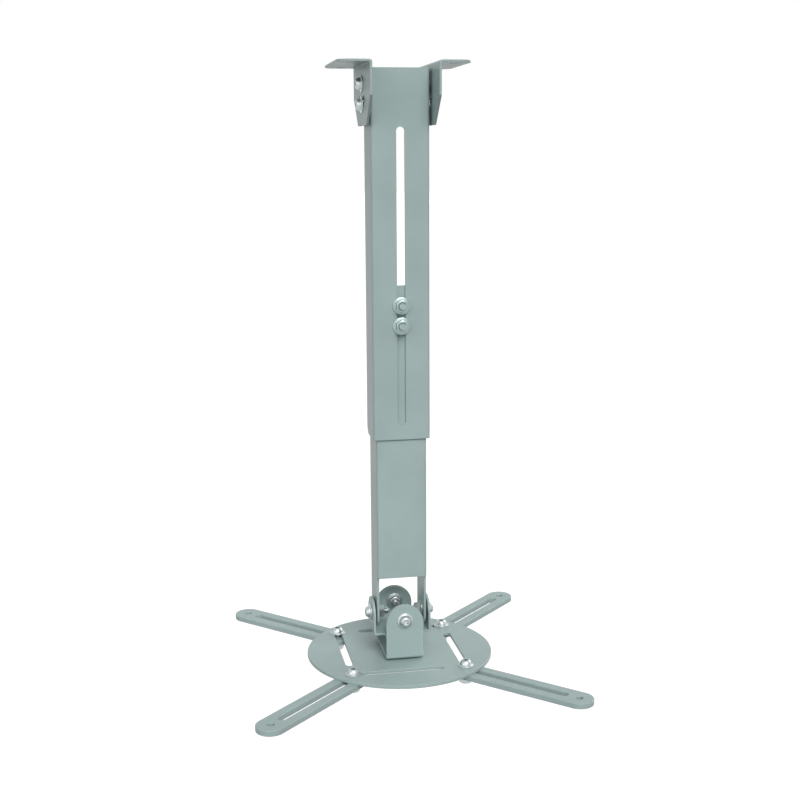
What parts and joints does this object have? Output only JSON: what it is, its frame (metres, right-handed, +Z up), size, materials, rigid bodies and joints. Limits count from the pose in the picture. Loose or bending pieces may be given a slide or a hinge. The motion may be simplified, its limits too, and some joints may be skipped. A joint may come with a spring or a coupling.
{
  "type": "projector ceiling mount",
  "caption": "Telescopic ceiling mount for a projector: folded channels on tilting ceiling brackets, a two-way gimbal, and a swivelling round plate with adjustable slotted arms.",
  "frame": {"origin": "on the ceiling face, midway between the two ceiling brackets, over the tilt axis", "axes": "+Z up to the ceiling along the column, +X to the right and -Y to the front, the side with the height slot"},
  "size_m": [0.2816, 0.2816, 0.5333],
  "materials": {
    "painted_steel": "satin silver-grey powder coat with a slight green cast",
    "zinc_hardware": "bright zinc plate"
  },
  "bodies": {
    "ceiling_brackets": {"ceiling_bracket_left": "painted_steel", "ceiling_bracket_right": "painted_steel"},
    "upper_column": {"upper_channel": "painted_steel", "tilt_pivot_screws": "zinc_hardware", "tilt_pivot_spacers": "zinc_hardware", "tilt_pivot_nuts": "zinc_hardware", "tilt_lock_screws": "zinc_hardware", "tilt_lock_spacers": "zinc_hardware", "tilt_lock_nuts": "zinc_hardware"},
    "lower_column": {"lower_channel": "painted_steel", "column_clamp_screws": "zinc_hardware", "column_clamp_nuts": "zinc_hardware", "pitch_screws": "zinc_hardware", "pitch_spacers": "zinc_hardware", "pitch_nuts": "zinc_hardware"},
    "gimbal_cross": {"cross_bracket": "painted_steel", "roll_screws": "zinc_hardware", "roll_spacers": "zinc_hardware", "roll_nuts": "zinc_hardware"},
    "gimbal_yoke": {"swivel_yoke": "painted_steel", "swivel_screw": "zinc_hardware", "swivel_washer": "zinc_hardware", "swivel_nut": "zinc_hardware"},
    "plate": {"arm_plate": "painted_steel"},
    "clamp_front_left": {"arm_screw_front_left": "zinc_hardware", "arm_nut_front_left": "zinc_hardware"},
    "pivot_front_left": {"arm_washer_front_left": "zinc_hardware"},
    "bar_front_left": {"arm_front_left": "painted_steel"},
    "clamp_front_right": {"arm_screw_front_right": "zinc_hardware", "arm_nut_front_right": "zinc_hardware"},
    "pivot_front_right": {"arm_washer_front_right": "zinc_hardware"},
    "bar_front_right": {"arm_front_right": "painted_steel"},
    "clamp_back_right": {"arm_screw_back_right": "zinc_hardware", "arm_nut_back_right": "zinc_hardware"},
    "pivot_back_right": {"arm_washer_back_right": "zinc_hardware"},
    "bar_back_right": {"arm_back_right": "painted_steel"},
    "clamp_back_left": {"arm_screw_back_left": "zinc_hardware", "arm_nut_back_left": "zinc_hardware"},
    "pivot_back_left": {"arm_washer_back_left": "zinc_hardware"},
    "bar_back_left": {"arm_back_left": "painted_steel"}
  },
  "joints": [
    {"name": "ceiling_tilt", "type": "hinge", "parent": "ceiling_brackets", "child": "upper_column", "pos_m": [0, 0, -0.017], "axis": [1, 0, 0], "range_deg": [-15, 15]},
    {"name": "column_height", "type": "slide", "parent": "upper_column", "child": "lower_column", "axis": [0, 0, 1], "range_m": [-0.08, 0.14]},
    {"name": "pitch", "type": "hinge", "parent": "lower_column", "child": "gimbal_cross", "pos_m": [0, 0.0022, -0.4798], "axis": [1, 0, 0], "range_deg": [-15, 15]},
    {"name": "roll", "type": "hinge", "parent": "gimbal_cross", "child": "gimbal_yoke", "pos_m": [0, 0.0022, -0.4798], "axis": [0, 1, 0], "range_deg": [-15, 15]},
    {"name": "swivel", "type": "hinge", "parent": "gimbal_yoke", "child": "plate", "pos_m": [0, 0.0022, -0.5203], "axis": [0, 0, 1], "continuous": true},
    {"name": "plate_slot_front_left", "type": "slide", "parent": "plate", "child": "clamp_front_left", "axis": [1, 0, 0], "range_m": [0, 0.072]},
    {"name": "arm_swing_front_left", "type": "hinge", "parent": "clamp_front_left", "child": "pivot_front_left", "pos_m": [-0.05, -0.0478, -0.5253], "axis": [0, 0, 1], "range_deg": [-75, 75]},
    {"name": "arm_reach_front_left", "type": "slide", "parent": "pivot_front_left", "child": "bar_front_left", "axis": [-0.7071, -0.7071, 0], "range_m": [-0.048, 0]},
    {"name": "plate_slot_front_right", "type": "slide", "parent": "plate", "child": "clamp_front_right", "axis": [0, 1, 0], "range_m": [0, 0.072]},
    {"name": "arm_swing_front_right", "type": "hinge", "parent": "clamp_front_right", "child": "pivot_front_right", "pos_m": [0.05, -0.0478, -0.5253], "axis": [0, 0, 1], "range_deg": [-75, 75]},
    {"name": "arm_reach_front_right", "type": "slide", "parent": "pivot_front_right", "child": "bar_front_right", "axis": [0.7071, -0.7071, 0], "range_m": [-0.048, 0]},
    {"name": "plate_slot_back_right", "type": "slide", "parent": "plate", "child": "clamp_back_right", "axis": [-1, 0, 0], "range_m": [0, 0.072]},
    {"name": "arm_swing_back_right", "type": "hinge", "parent": "clamp_back_right", "child": "pivot_back_right", "pos_m": [0.05, 0.0522, -0.5253], "axis": [0, 0, 1], "range_deg": [-75, 75]},
    {"name": "arm_reach_back_right", "type": "slide", "parent": "pivot_back_right", "child": "bar_back_right", "axis": [0.7071, 0.7071, 0], "range_m": [-0.048, 0]},
    {"name": "plate_slot_back_left", "type": "slide", "parent": "plate", "child": "clamp_back_left", "axis": [0, -1, 0], "range_m": [0, 0.072]},
    {"name": "arm_swing_back_left", "type": "hinge", "parent": "clamp_back_left", "child": "pivot_back_left", "pos_m": [-0.05, 0.0522, -0.5253], "axis": [0, 0, 1], "range_deg": [-75, 75]},
    {"name": "arm_reach_back_left", "type": "slide", "parent": "pivot_back_left", "child": "bar_back_left", "axis": [-0.7071, 0.7071, 0], "range_m": [-0.048, 0]}
  ]
}
